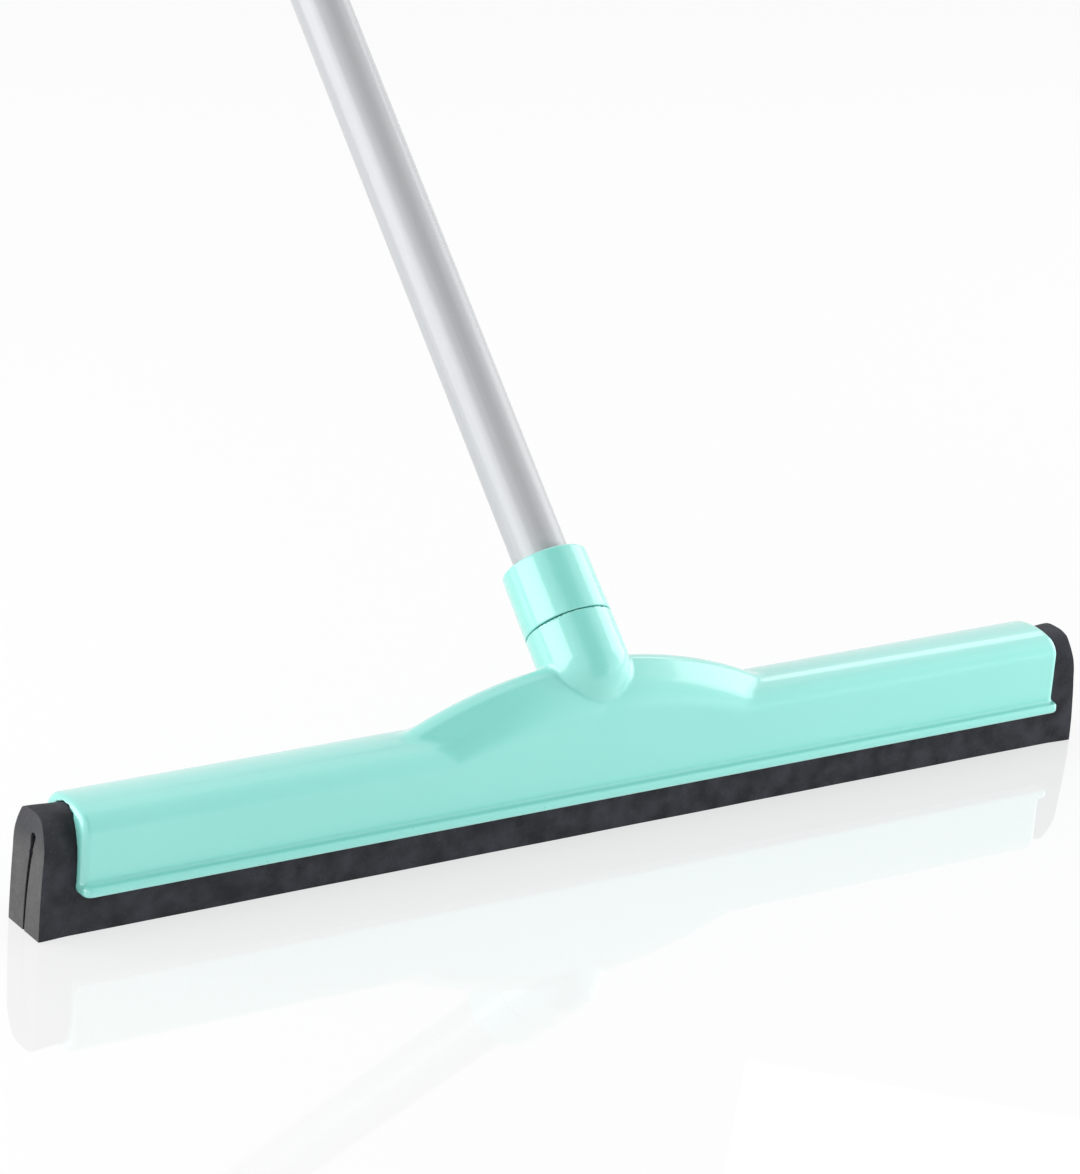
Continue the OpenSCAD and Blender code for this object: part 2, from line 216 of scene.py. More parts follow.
def rubber_skin(look):
    """Closed-cell rubber sheet with its moulded skin on."""
    # Matt charcoal: tiny closed cells print through as pits, and a few open ones show as grey specks
    material, tree, out = new_material("cellular_rubber_skin")
    place = add_node(tree, "ShaderNodeTexCoord").outputs["Object"]
    mottle = add_node(tree, "ShaderNodeTexNoise", {"Vector": place, "Scale": per_mm(9), "Detail": 6.0})
    cloud = add_node(tree, "ShaderNodeMapRange", {
        "Value": mottle.outputs["Fac"], "From Min": 0.35, "From Max": 0.65,
    })
    tone = add_node(tree, "ShaderNodeMix", {
        0: cloud.outputs["Result"], 6: linear(look.rubber_deep), 7: linear(look.rubber_pale),
    }, data_type="RGBA")
    speck = add_node(tree, "ShaderNodeTexVoronoi", {"Vector": place, "Scale": per_mm(1.9)})
    dot = add_node(tree, "ShaderNodeMapRange", {
        "Value": speck.outputs["Distance"], "From Min": 0.08, "From Max": 0.2, "To Min": 0.35, "To Max": 0.0,
    })
    colour = add_node(tree, "ShaderNodeMix", {
        0: dot.outputs["Result"], 6: tone.outputs[2], 7: linear(look.rubber_speck),
    }, data_type="RGBA")
    cells = add_node(tree, "ShaderNodeTexVoronoi", {"Vector": place, "Scale": per_mm(1.1)})
    pits = add_node(tree, "ShaderNodeBump", {
        "Height": cells.outputs["Distance"], "Strength": 0.35, "Distance": 0.25 * MM,
    })
    dust = add_node(tree, "ShaderNodeTexNoise", {"Vector": place, "Scale": per_mm(0.7), "Detail": 3.0})
    skin = add_node(tree, "ShaderNodeBump", {
        "Height": dust.outputs["Fac"], "Strength": 0.3, "Distance": 0.12 * MM,
        "Normal": pits.outputs["Normal"],
    })
    shader = add_node(tree, "ShaderNodeBsdfPrincipled", {
        "Base Color": colour.outputs[2], "Roughness": 0.72, "IOR": 1.5, "Normal": skin.outputs["Normal"],
    })
    tree.links.new(shader.outputs["BSDF"], out.inputs["Surface"])
    return material


def rubber_cut(look):
    """Closed-cell rubber where a knife has opened its cells."""
    # Paler and duller than the skin: thousands of open cells scatter the light, with a knife's drag marks
    material, tree, out = new_material("cellular_rubber_cut")
    place = add_node(tree, "ShaderNodeTexCoord").outputs["Object"]
    mottle = add_node(tree, "ShaderNodeTexNoise", {"Vector": place, "Scale": per_mm(4), "Detail": 5.0})
    tone = add_node(tree, "ShaderNodeMix", {
        0: mottle.outputs["Fac"], 6: linear(look.cut_deep), 7: linear(look.cut_pale),
    }, data_type="RGBA")
    cells = add_node(tree, "ShaderNodeTexVoronoi", {"Vector": place, "Scale": per_mm(0.9)})
    pore = add_node(tree, "ShaderNodeMapRange", {
        "Value": cells.outputs["Distance"], "From Min": 0.0, "From Max": 0.35, "To Min": 0.35, "To Max": 0.0,
    })
    colour = add_node(tree, "ShaderNodeMix", {
        0: pore.outputs["Result"], 6: tone.outputs[2], 7: linear(look.rubber_deep),
    }, data_type="RGBA")
    # Painted shade: the cut is darker towards the top, round the eye, for the shade in the dished end
    height = add_node(tree, "ShaderNodeSeparateXYZ", {"Vector": place})
    painted_eye_shade = add_node(tree, "ShaderNodeMapRange", {
        "Value": height.outputs["Z"], "From Min": (EYE_Z - 8) * MM, "From Max": (EYE_Z + 4) * MM,
        "To Max": 0.6,
    }, interpolation_type="SMOOTHSTEP")
    shade = add_node(tree, "ShaderNodeMix", {
        0: painted_eye_shade.outputs["Result"], 6: colour.outputs[2], 7: linear(look.rubber_pale),
    }, data_type="RGBA")
    drag = add_node(tree, "ShaderNodeMapping", {"Vector": place, "Scale": (1.0, 1.0, 0.12)})
    knife = add_node(tree, "ShaderNodeTexNoise", {
        "Vector": drag.outputs["Vector"], "Scale": per_mm(1.3), "Detail": 3.0,
    })
    marks = add_node(tree, "ShaderNodeBump", {
        "Height": knife.outputs["Fac"], "Strength": 0.4, "Distance": 0.3 * MM,
    })
    pits = add_node(tree, "ShaderNodeBump", {
        "Height": cells.outputs["Distance"], "Strength": 0.5, "Distance": 0.3 * MM,
        "Normal": marks.outputs["Normal"],
    })
    shader = add_node(tree, "ShaderNodeBsdfPrincipled", {
        "Base Color": shade.outputs[2], "Roughness": 0.9, "IOR": 1.5, "Normal": pits.outputs["Normal"],
    })
    tree.links.new(shader.outputs["BSDF"], out.inputs["Surface"])
    return material


def silver_lacquer(look):
    """Silver-grey lacquer, sprayed on a drawn aluminium tube."""
    # Even satin grey: fine flake under a clear top coat, long soft reflections and a faint orange peel
    material, tree, out = new_material("silver_lacquer")
    place = add_node(tree, "ShaderNodeTexCoord").outputs["Object"]
    along = add_node(tree, "ShaderNodeVectorRotate", {
        "Vector": place, "Axis": (1.0, 0.0, 0.0), "Angle": POLE_TILT,
    }, rotation_type="AXIS_ANGLE")
    drawn = add_node(tree, "ShaderNodeMapping", {
        "Vector": along.outputs["Vector"], "Scale": (1.0, 1.0, 0.02),
    })
    lines = add_node(tree, "ShaderNodeTexNoise", {
        "Vector": drawn.outputs["Vector"], "Scale": per_mm(1.6), "Detail": 3.0,
    })
    tone = add_node(tree, "ShaderNodeMix", {
        0: lines.outputs["Fac"], 6: linear(look.pole_deep), 7: linear(look.pole_pale),
    }, data_type="RGBA")
    # Real flake is finer than a pixel, so it is drawn at 0.4 mm
    flake = add_node(tree, "ShaderNodeTexVoronoi", {"Vector": place, "Scale": per_mm(0.4)})
    gloss = add_node(tree, "ShaderNodeMapRange", {
        "Value": flake.outputs["Distance"],
        "To Min": look.pole_gloss - 0.04, "To Max": look.pole_gloss + 0.04,
    })
    peel = add_node(tree, "ShaderNodeTexNoise", {"Vector": place, "Scale": per_mm(2.2), "Detail": 1.0})
    marks = add_node(tree, "ShaderNodeBump", {
        "Height": peel.outputs["Fac"], "Strength": 0.06, "Distance": 0.05 * MM,
    })
    shader = add_node(tree, "ShaderNodeBsdfPrincipled", {
        "Base Color": tone.outputs[2], "Metallic": 0.12, "Roughness": gloss.outputs["Result"],
        "Coat Weight": 0.45, "Coat Roughness": 0.04, "Normal": marks.outputs["Normal"],
    })
    tree.links.new(shader.outputs["BSDF"], out.inputs["Surface"])
    return material


def white_lacquer(stage):
    """Lacquered white board under the squeegee."""
    # White all over for the camera, with the object's shadow and a faint mirror image of it
    material, tree, out = new_material("white_lacquer")
    path = add_node(tree, "ShaderNodeLightPath")
    seen = add_node(tree, "ShaderNodeMath", {
        0: path.outputs["Is Camera Ray"], 1: path.outputs["Is Glossy Ray"],
    }, operation="MAXIMUM")
    share = add_node(tree, "ShaderNodeMath", {
        0: seen.outputs["Value"], 1: stage.floor_glow,
    }, operation="MULTIPLY")
    paint = add_node(tree, "ShaderNodeBsdfDiffuse", {"Color": linear("#F4F4F4")})
    glow = add_node(tree, "ShaderNodeEmission", {"Color": linear("#FFFFFF"), "Strength": 1.0})
    base = add_node(tree, "ShaderNodeMixShader", {
        0: share.outputs["Value"], 1: paint.outputs["BSDF"], 2: glow.outputs["Emission"],
    })
    sheen = add_node(tree, "ShaderNodeBsdfGlossy", {"Color": linear("#FFFFFF"), "Roughness": 0.02})
    rim = add_node(tree, "ShaderNodeFresnel", {"IOR": stage.floor_ior})
    lacquer = add_node(tree, "ShaderNodeMixShader", {
        0: rim.outputs["Fac"], 1: base.outputs["Shader"], 2: sheen.outputs["BSDF"],
    })
    tree.links.new(lacquer.outputs["Shader"], out.inputs["Surface"])
    return material


def round_join(a, b, r):
    """Distance to two shapes joined, with a hollow fillet of radius r between them."""
    return np.maximum(r, np.minimum(a, b)) - np.hypot(np.maximum(r - a, 0), np.maximum(r - b, 0))


def round_meet(a, b, r):
    """Distance to what two shapes share, with a round edge of radius r between them."""
    return np.minimum(-r, np.maximum(a, b)) + np.hypot(np.maximum(r + a, 0), np.maximum(r + b, 0))


def rail_section(side, z):
    """Distance to the rail's section: upright wall, round shoulder and crowned top."""
    crown_z = RAIL_TOP - CROWN_R
    edge_y = RAIL_HALF - SHOULDER_R
    edge_z = crown_z + math.sqrt((CROWN_R - SHOULDER_R) ** 2 - edge_y ** 2)
    wall = side - RAIL_HALF
    shoulder = np.hypot(side - edge_y, z - edge_z) - SHOULDER_R
    crown = np.hypot(side, z - crown_z) - CROWN_R
    on_crown = side * (edge_z - crown_z) < (z - crown_z) * edge_y
    return np.where(z < edge_z, wall, np.where(on_crown, crown, shoulder))


def hump_section(x, side, z):
    """Distance to the hump's ridge and flanks, turned about the middle of the ridge's arc."""
    ridge = np.hypot(x, z - (HUMP_TOP - HUMP_R)) - (HUMP_R - RIDGE_R)
    foot = RIDGE_R - FLANK_DROP
    slope = math.atan2(RAIL_HALF, foot) - math.acos(RIDGE_R / math.hypot(foot, RAIL_HALF))
    flank = ridge * math.cos(slope) + side * math.sin(slope) - RIDGE_R
    round_top = np.hypot(ridge, side) - RIDGE_R
    return np.where(side * math.cos(slope) < ridge * math.sin(slope), round_top, flank)


def channel_section(side, z):
    """Distance to the room for the blade inside the rail."""
    half = BLADE_HALF + CHANNEL_CLEAR
    leaf_r = LEAF_R + CHANNEL_CLEAR
    fold_z = BLADE_TOP - FOLD_R
    bend = np.hypot(side - half + leaf_r, z - BLADE_SHOULDER) - leaf_r
    leaf = np.where(z < BLADE_SHOULDER, side - half, bend)
    fold = np.where(z < fold_z, -leaf_r, np.hypot(side, z - fold_z) - FOLD_R - CHANNEL_CLEAR)
    return np.maximum(leaf, fold)


def head_field(soft, x, y, z):
    """Distance to the moulded head, in millimetres, below zero inside."""
    side = np.abs(y)
    end = np.abs(x) - RAIL_HALF_LEN
    lip_z = (LIP_LOW + LIP_HIGH) / 2
    rail = round_meet(rail_section(side, z), end, soft.end_round)
    rail = np.maximum(rail, lip_z - z)
    corner = soft.lip_corner
    over_x = np.maximum(end + corner, 0)
    over_y = np.maximum(side - LIP_HALF + corner, 0)
    plan = np.hypot(over_x, over_y) + np.minimum(np.maximum(end, side - LIP_HALF) + corner, 0) - corner
    lip = round_meet(plan, np.abs(z - lip_z) - (LIP_HIGH - LIP_LOW) / 2, soft.lip_edge)
    body = round_join(rail, lip, soft.lip_fillet)
    flank_round = soft.flank_round * (FLANK_MORE - np.minimum(np.abs(x) / FLANK_RUN, 1))
    hump = round_meet(hump_section(x, side, z), side - RAIL_HALF, flank_round)
    hump = np.maximum(hump, RAIL_TOP - SHOULDER_R - z)
    near_wall = np.clip((RAIL_HALF - side) / soft.flank_round, LEAST_FILLET, 1.0)
    body = round_join(body, hump, soft.hump_fillet * near_wall)
    u = (y - BALL[1]) * POLE_DIR[1] + (z - BALL[2]) * POLE_DIR[2]
    out_y, out_z = y - BALL[1] - u * POLE_DIR[1], z - BALL[2] - u * POLE_DIR[2]
    off_axis = np.sqrt(x * x + out_y * out_y + out_z * out_z)
    # Below the ball's middle the front runs nearly straight down, so the stub ends in a point on the wall
    lean = math.radians(soft.stub_lean)
    down = (y - BALL[1]) * math.sin(lean) - (z - BALL[2]) * math.cos(lean)
    front = (y - BALL[1]) * math.cos(lean) + (z - BALL[2]) * math.sin(lean)
    elbow = (u < 0) & (down > 0) & (front < 0)
    stub = np.where(elbow, np.hypot(x, front), np.hypot(off_axis, np.minimum(u, 0))) - STUB_R
    stub = round_meet(stub, u - SEAM_U, soft.seam_round)
    body = round_join(body, stub, soft.stub_fillet * near_wall)
    neck = np.maximum(np.maximum(off_axis - NECK_R, u - NECK_TOP), -u)
    body = np.minimum(body, neck)
    body = round_meet(body, -channel_section(side, z), soft.mouth_round)
    bore = np.maximum(off_axis - BORE_R, BORE_LOW - u)
    seat_r = SEAT_LOW_R + (SEAT_TOP_R - SEAT_LOW_R) * (u - SEAT_LOW) / (NECK_TOP - SEAT_LOW)
    seat = np.maximum(off_axis - seat_r, SEAT_LOW - u)
    return np.maximum(body, -np.minimum(bore, seat))


def skin_of(field, xs, ys, zs):
    """A quad skin on a field's zero level: one point in each cell that the surface crosses."""
    axes = (xs, ys, zs)
    value = field(xs[:, None, None], ys[None, :, None], zs[None, None, :])
    value = np.broadcast_to(value, (len(xs), len(ys), len(zs)))
    inside = value < 0
    cut = tuple(n - 1 for n in inside.shape)
    corners = [(i, j, k) for i in (0, 1) for j in (0, 1) for k in (0, 1)]
    count = sum(inside[i:i + cut[0], j:j + cut[1], k:k + cut[2]].astype(np.int8) for i, j, k in corners)
    cells = np.argwhere((count > 0) & (count < len(corners)))
    number = np.full(cut, -1, dtype=np.int64)
    number[tuple(cells.T)] = np.arange(len(cells))
    total = np.zeros((len(cells), 3))
    hits = np.zeros((len(cells), 1))
    for a in corners:
        for axis in range(3):
            if a[axis]:
                continue
            b = tuple(a[n] + (n == axis) for n in range(3))
            ca, cb = cells + a, cells + b
            va, vb = value[tuple(ca.T)], value[tuple(cb.T)]
            cross = (va < 0) != (vb < 0)
            t = np.where(cross, va / np.where(cross, va - vb, 1.0), 0.0)[:, None]
            pa = np.stack([axes[n][ca[:, n]] for n in range(3)], axis=1)
            pb = np.stack([axes[n][cb[:, n]] for n in range(3)], axis=1)
            total += np.where(cross[:, None], pa + t * (pb - pa), 0.0)
            hits += cross[:, None]
    points = total / hits
    faces = []
    for axis in range(3):
        low = [slice(None)] * 3
        high = [slice(None)] * 3
        low[axis], high[axis] = slice(None, -1), slice(1, None)
        starts = inside[tuple(low)]
        edges = np.argwhere(starts != inside[tuple(high)])
        p, q = (axis + 1) % 3, (axis + 2) % 3
        keep = (edges[:, p] > 0) & (edges[:, q] > 0) & (edges[:, p] < cut[p]) & (edges[:, q] < cut[q])
        edges = edges[keep]
        ring = []
        for dp, dq in ((-1, -1), (0, -1), (0, 0), (-1, 0)):
            cell = edges.copy()
            cell[:, p] += dp
            cell[:, q] += dq
            ring.append(number[tuple(cell.T)])
        quad = np.stack(ring, axis=1)
        flip = ~starts[tuple(edges.T)]
        quad[flip] = quad[flip][:, ::-1]
        faces.append(quad)
    return points, np.concatenate(faces)


def slope_of(field, points, step=0.02):
    """Gradient of a field at points, by central differences."""
    slopes = []
    for axis in range(3):
        move = np.zeros(3)
        move[axis] = step
        ahead, behind = points + move, points - move
        slopes.append((field(*ahead.T) - field(*behind.T)) / (2 * step))
    return np.stack(slopes, axis=1)


def settle(field, points, reach, rounds=4):
    """Moves points onto a field's zero level, by no more than reach in a round."""
    for _ in range(rounds):
        slope = slope_of(field, points)
        size = np.maximum((slope ** 2).sum(axis=1), LEAST_SLOPE)
        step = (field(*points.T) / size)[:, None] * slope
        points = points - np.clip(step, -reach, reach)
    return points


def add_mesh_piece(name, points, faces, material):
    """A smooth mesh piece from points in millimetres."""
    mesh = bpy.data.meshes.new(name)
    mesh.from_pydata((points * MM).tolist(), [], [tuple(f) for f in faces.tolist()])
    mesh.materials.append(material)
    mesh.shade_smooth()
    piece = bpy.data.objects.new(name, mesh)
    bpy.context.scene.collection.objects.link(piece)
    return piece


def spaced(*runs):
    """Grid places from runs of (start, end, step), each run in even steps."""
    places = [np.linspace(a, b, max(2, int(round((b - a) / step)) + 1)) for a, b, step in runs]
    return np.unique(np.round(np.concatenate(places), 5))


def blade_section(rows_leaf, rows_fold):
    """Outer and inner outline of one leaf and half the fold, from foot to top, as (side, z) rows."""
    leaf_z = np.linspace(0, BLADE_SHOULDER, rows_leaf, endpoint=False)
    rise = np.linspace(BLADE_SHOULDER, BLADE_TOP, OUTLINE_POINTS)
    leaf = BLADE_HALF - LEAF_R + np.sqrt(np.maximum(LEAF_R ** 2 - (rise - BLADE_SHOULDER) ** 2, 0))
    fold_z = BLADE_TOP - FOLD_R
    fold = np.where(rise < fold_z, BLADE_HALF, np.sqrt(np.maximum(FOLD_R ** 2 - (rise - fold_z) ** 2, 0)))
    outer = np.stack([np.minimum(leaf, fold), rise], axis=1)
    turn = np.linspace(0, math.pi / 2, EYE_POINTS)
    eye = np.stack([EYE_R * np.cos(turn), EYE_Z + EYE_R * np.sin(turn)], axis=1)
    inner = np.concatenate([[(SLIT_HALF, BLADE_SHOULDER)], eye])
    halves = []
    for line, foot_side in ((outer, BLADE_HALF), (inner, SLIT_HALF)):
        run = np.concatenate([[0], np.cumsum(np.hypot(*np.diff(line, axis=0).T))])
        at = np.linspace(0, run[-1], rows_fold)
        upper = np.stack([np.interp(at, run, line[:, 0]), np.interp(at, run, line[:, 1])], axis=1)
        lower = np.stack([np.full(rows_leaf, foot_side), leaf_z], axis=1)
        halves.append(np.concatenate([lower, upper]))
    return halves


class SQUEEGEE_PG_look(bpy.types.PropertyGroup):
    """Colours and gloss of the squeegee's materials."""

    mint_deep: bpy.props.StringProperty(
        name="Mint, deep", description="Deeper tone of the moulded plastic", default="#86DAD0")
    mint_pale: bpy.props.StringProperty(
        name="Mint, pale", description="Paler tone of the moulded plastic", default="#8EDFD5")
    mint_gloss: bpy.props.FloatProperty(
        name="Mint roughness", description="Roughness of the moulded plastic", default=0.3, min=0, max=1,
        subtype="FACTOR")
    rubber_deep: bpy.props.StringProperty(
        name="Rubber, deep", description="Deeper tone of the blade's skin", default="#13141A")
    rubber_pale: bpy.props.StringProperty(
        name="Rubber, pale", description="Paler tone of the blade's skin", default="#303139")
    rubber_speck: bpy.props.StringProperty(
        name="Rubber, specks", description="Open cells in the blade's skin", default="#4A4C50")
    cut_deep: bpy.props.StringProperty(
        name="Cut, deep", description="Deeper tone of the blade's cut ends", default="#474747")
    cut_pale: bpy.props.StringProperty(
        name="Cut, pale", description="Paler tone of the blade's cut ends", default="#606060")
    natural_deep: bpy.props.StringProperty(
        name="Natural, deep", description="Deeper tone of the unpigmented plastic", default="#DEDCCF")
    natural_pale: bpy.props.StringProperty(
        name="Natural, pale", description="Paler tone of the unpigmented plastic", default="#EFEEE6")
    pole_deep: bpy.props.StringProperty(
        name="Lacquer, deep", description="Deeper tone of the pole's lacquer", default="#ADAFB2")
    pole_pale: bpy.props.StringProperty(
        name="Lacquer, pale", description="Paler tone of the pole's lacquer", default="#B9BBBD")
    pole_gloss: bpy.props.FloatProperty(
        name="Lacquer roughness", description="Roughness of the pole's lacquer", default=0.42, min=0, max=1,
        subtype="FACTOR")


class SQUEEGEE_PG_head(bpy.types.PropertyGroup):
    """Radii of the moulded head's edges and fillets, in millimetres."""

    cell: bpy.props.FloatProperty(
        name="Mesh size", description="Size of the skin's faces, mm", default=0.9, min=0.4, max=3)
    end_round: bpy.props.FloatProperty(
        name="End rounding", description="Radius round the rail's ends, mm", default=3.2, min=0.5, max=5)
    lip_corner: bpy.props.FloatProperty(
        name="Lip corners", description="Radius of the lip's corners from above, mm",
        default=3.0, min=0.5, max=5)
    lip_edge: bpy.props.FloatProperty(
        name="Lip edge", description="Radius of the lip's edges, mm", default=1.1, min=0.2, max=1.7)
    lip_fillet: bpy.props.FloatProperty(
        name="Lip fillet", description="Fillet between lip and wall, mm", default=0.8, min=0.1, max=3)
    flank_round: bpy.props.FloatProperty(
        name="Flank rounding", description="Radius from the hump's flank to the wall, mm",
        default=5.0, min=1, max=9)
    hump_fillet: bpy.props.FloatProperty(
        name="Hump fillet", description="Fillet between hump and rail, mm", default=1.4, min=0.1, max=8)
    stub_fillet: bpy.props.FloatProperty(
        name="Stub fillet", description="Fillet between socket stub and hump, mm",
        default=1.6, min=0.1, max=8)
    stub_lean: bpy.props.FloatProperty(
        name="Stub lean", description="How far the stub's foot leans back from upright, degrees",
        default=14.0, min=0, max=40)
    seam_round: bpy.props.FloatProperty(
        name="Seam rounding", description="Radius of the stub's edge at the seam, mm",
        default=0.35, min=0.1, max=1)
    mouth_round: bpy.props.FloatProperty(
        name="Channel edge", description="Radius of the edges round the blade, mm",
        default=0.5, min=0.1, max=0.8)


class SQUEEGEE_PG_blade(bpy.types.PropertyGroup):
    """Shape of the folded rubber blade, in millimetres."""

    end_curve: bpy.props.FloatProperty(
        name="End curve", description="How far the cut ends curve in at the fold, mm",
        default=3.0, min=0, max=6)
    slit_flare: bpy.props.FloatProperty(
        name="Slit flare", description="How far each leaf springs open at the ends, mm",
        default=0.75, min=0, max=2)
    flare_run: bpy.props.FloatProperty(
        name="Flare run", description="Length over which the leaves close, mm", default=7.0, min=1, max=30)
    skew: bpy.props.FloatProperty(
        name="Skew", description="How far the fold sits to the left of the feet, mm",
        default=1.6, min=-3, max=3)
    swell: bpy.props.FloatProperty(
        name="Swell", description="How far each leaf swells outside the rail's grip, mm",
        default=0.7, min=0, max=2)
    dish: bpy.props.FloatProperty(
        name="Dish", description="How far the cut ends sink in round the eye, mm", default=1.5, min=0, max=4)
    edge_round: bpy.props.FloatProperty(
        name="Edge rounding", description="Radius of the blade's soft edges, mm",
        default=0.9, min=0.1, max=1.5)
    ripple: bpy.props.FloatProperty(
        name="Ripple", description="Height of the slow ripple in the leaves, mm", default=0.22, min=0, max=1)


class SQUEEGEE_PG_stage(bpy.types.PropertyGroup):
    """Floor, lamps and surrounding light."""

    floor_glow: bpy.props.FloatProperty(
        name="Floor white", description="Share of the floor that is plain white for the camera", default=0.8,
        min=0, max=1, subtype="FACTOR")
    floor_ior: bpy.props.FloatProperty(
        name="Floor gloss", description="Refractive index of the floor's lacquer", default=1.42, min=1, max=2)
    right_power: bpy.props.FloatProperty(
        name="Right lamp", description="Power of the softbox off the right end",
        default=5.2, min=0, unit="POWER")
    left_power: bpy.props.FloatProperty(
        name="Left lamp", description="Power of the softbox off the left end",
        default=15.0, min=0, unit="POWER")
    fill_power: bpy.props.FloatProperty(
        name="Front fill", description="Power of the unmirrored fill in front",
        default=10.5, min=0, unit="POWER")
    edge_power: bpy.props.FloatProperty(
        name="Edge lamp", description="Power of the strip that draws the edge highlight", default=0.2, min=0,
        unit="POWER")
    ambient: bpy.props.FloatProperty(
        name="Surrounding light", description="Even light from all round", default=0.7, min=0, max=2)
    mirrored_round: bpy.props.FloatProperty(
        name="Mirrored surroundings", description="Brightness that gloss mirrors from all round", default=1.0,
        min=0, max=2)
    mirrored_gap: bpy.props.FloatProperty(
        name="Mirrored gap", description="Brightness of the dark gap in front", default=0.02,
        min=0, max=2)


class SQUEEGEE_OT_head(bpy.types.Operator):
    """Moulds the head: rail, lip, hump and socket stub in one skin, with soft edges and fillets"""

    bl_idname = "squeegee.head"
    bl_label = "Mould the head"

    def execute(self, context):
        soft = context.scene.squeegee_head
        cell = soft.cell
        fine = cell * END_CELL_SHARE
        far, near = RAIL_HALF_LEN + cell, HUMP_REACH
        turn = far - END_RUN
        xs = spaced((-far, -turn, fine), (-turn, -near, PLAIN_CELL), (-near, near, cell),
                    (near, turn, PLAIN_CELL), (turn, far, fine))
        ys = spaced((-LIP_HALF - cell, LIP_HALF + cell, cell), (LIP_HALF + cell, SOCKET_BACK, cell))
        zs = spaced((LIP_LOW - cell, SOCKET_TOP, cell))

        def field(x, y, z):
            return head_field(soft, x, y, z)

        points, faces = skin_of(field, xs, ys, zs)
        points = settle(field, points, cell / 3)
        head = add_mesh_piece("moulded_head", points, faces, bpy.data.materials["mint_polypropylene"])
        slope = slope_of(field, points)
        slope /= np.maximum(np.linalg.norm(slope, axis=1, keepdims=True), 1e-6)
        head.data.normals_split_custom_set_from_vertices(slope.tolist())
        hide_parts("head_body")
        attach(head, "head")
        return {"FINISHED"}


class SQUEEGEE_OT_blade(bpy.types.Operator):
    """Folds the rubber strip: two leaves, the slit between them and the eye in the fold"""

    bl_idname = "squeegee.blade"
    bl_label = "Fold the blade"

    def execute(self, context):
        shape = context.scene.squeegee_blade
        outer, inner = blade_section(LEAF_ROWS, FOLD_ROWS)
        both = []
        for half in (outer, inner):
            back = half[::-1][1:]
            both.append(np.concatenate([half * (-1, 1), back]))
        outer, inner = both
        half_len = BLADE_HALF_LEN
        inset = spaced(*END_STEPS)
        along = np.concatenate([-(half_len - inset), (half_len - inset[:-1])[::-1]]) / half_len
        rows = len(outer)
        share = np.linspace(0, 1, LAYERS)

        def place(i, j, k):
            reach = along[i]
            from_end = (1 - abs(reach)) * half_len
            z_mid = (outer[j, 1] + inner[j, 1]) / 2
            open_up = shape.slit_flare * math.exp(-from_end / shape.flare_run)
            if inner[j, 1] < EYE_Z - EYE_ZONE:
                open_up *= FLARE_FOOT + (1 - FLARE_FOOT) * (inner[j, 1] / EYE_Z)
            else:
                open_up *= FLARE_EYE
            near = inner[j].copy()
            side = -1 if j < rows // 2 else 1 if j > rows // 2 else 0
            near[0] += side * open_up
            far = outer[j].copy()
            loose = max(0.0, min(1.0, 1 - from_end / (half_len - RAIL_HALF_LEN - GRIP_MARGIN)))
            fold = max(0.0, min(1.0, (far[1] - BLADE_SHOULDER) / (EYE_Z - BLADE_SHOULDER)))
            far[0] += side * shape.swell * (1 + fold) * loose * loose * (3 - 2 * loose)
            point = far + (near - far) * share[k]
            lean = (point[1] / BLADE_TOP) ** 2
            sink = shape.dish * min(point[1] / EYE_Z, 1) ** 2 * share[k] * abs(reach) ** DISH_POWER
            x = reach * (half_len - shape.end_curve * lean - sink)
            x -= shape.skew * lean * abs(reach) ** SKEW_POWER
            free = max(0.0, min(1.0, (LIP_LOW - RIPPLE_CLEAR - z_mid) / RIPPLE_RISE))
            wave = noise.noise(Vector((x / RIPPLE_ALONG, point[0] / RIPPLE_ACROSS, RIPPLE_DRAW)))
            swing = shape.ripple * free * wave
            return (x, point[0] + swing, point[1])

        grid = {}
        points, faces, ends = [], [], []

        def number(i, j, k):
            key = (i, j, k)
            if key not in grid:
                grid[key] = len(points)
                points.append(place(i, j, k))
            return grid[key]

        def add_face(turn, *corners):
            faces.append([number(*corner) for corner in corners][::turn])

        last, top, deep = len(along) - 1, rows - 1, LAYERS - 1
        for i in range(last):
            for j in range(top):
                for k, turn in ((0, 1), (deep, -1)):
                    add_face(turn, (i, j, k), (i + 1, j, k), (i + 1, j + 1, k), (i, j + 1, k))
            for k in range(deep):
                for j, turn in ((0, -1), (top, 1)):
                    add_face(turn, (i, j, k), (i + 1, j, k), (i + 1, j, k + 1), (i, j, k + 1))
        for j in range(top):
            for k in range(deep):
                for i, turn in ((0, 1), (last, -1)):
                    ends.append(len(faces))
                    add_face(turn, (i, j, k), (i, j + 1, k), (i, j + 1, k + 1), (i, j, k + 1))
        skin, cut = (bpy.data.materials[name] for name in ("cellular_rubber_skin", "cellular_rubber_cut"))
        blade = add_mesh_piece("folded_blade", np.array(points), np.array(faces), skin)
        blade.data.materials.append(cut)
        for n in ends:
            blade.data.polygons[n].material_index = 1
        form = bmesh.new()
        form.from_mesh(blade.data)
        bmesh.ops.recalc_face_normals(form, faces=form.faces)
        form.to_mesh(blade.data)
        form.free()
        soft = blade.modifiers.new("soft_edges", "BEVEL")
        soft.width = shape.edge_round * MM
        soft.segments = EDGE_SEGMENTS
        soft.limit_method = "ANGLE"
        soft.angle_limit = EDGE_ANGLE
        soft.harden_normals = True
        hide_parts("foam_blade")
        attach(blade, "head")
        return {"FINISHED"}


class SQUEEGEE_OT_finishes(bpy.types.Operator):
    """Makes the materials: moulded plastic, rubber skin and cut, and lacquer"""

    bl_idname = "squeegee.finishes"
    bl_label = "Mix the finishes"

    def execute(self, context):
        look = context.scene.squeegee_look
        for make in (mint_polypropylene, natural_polypropylene, rubber_skin, rubber_cut, silver_lacquer):
            make(look)
        return {"FINISHED"}


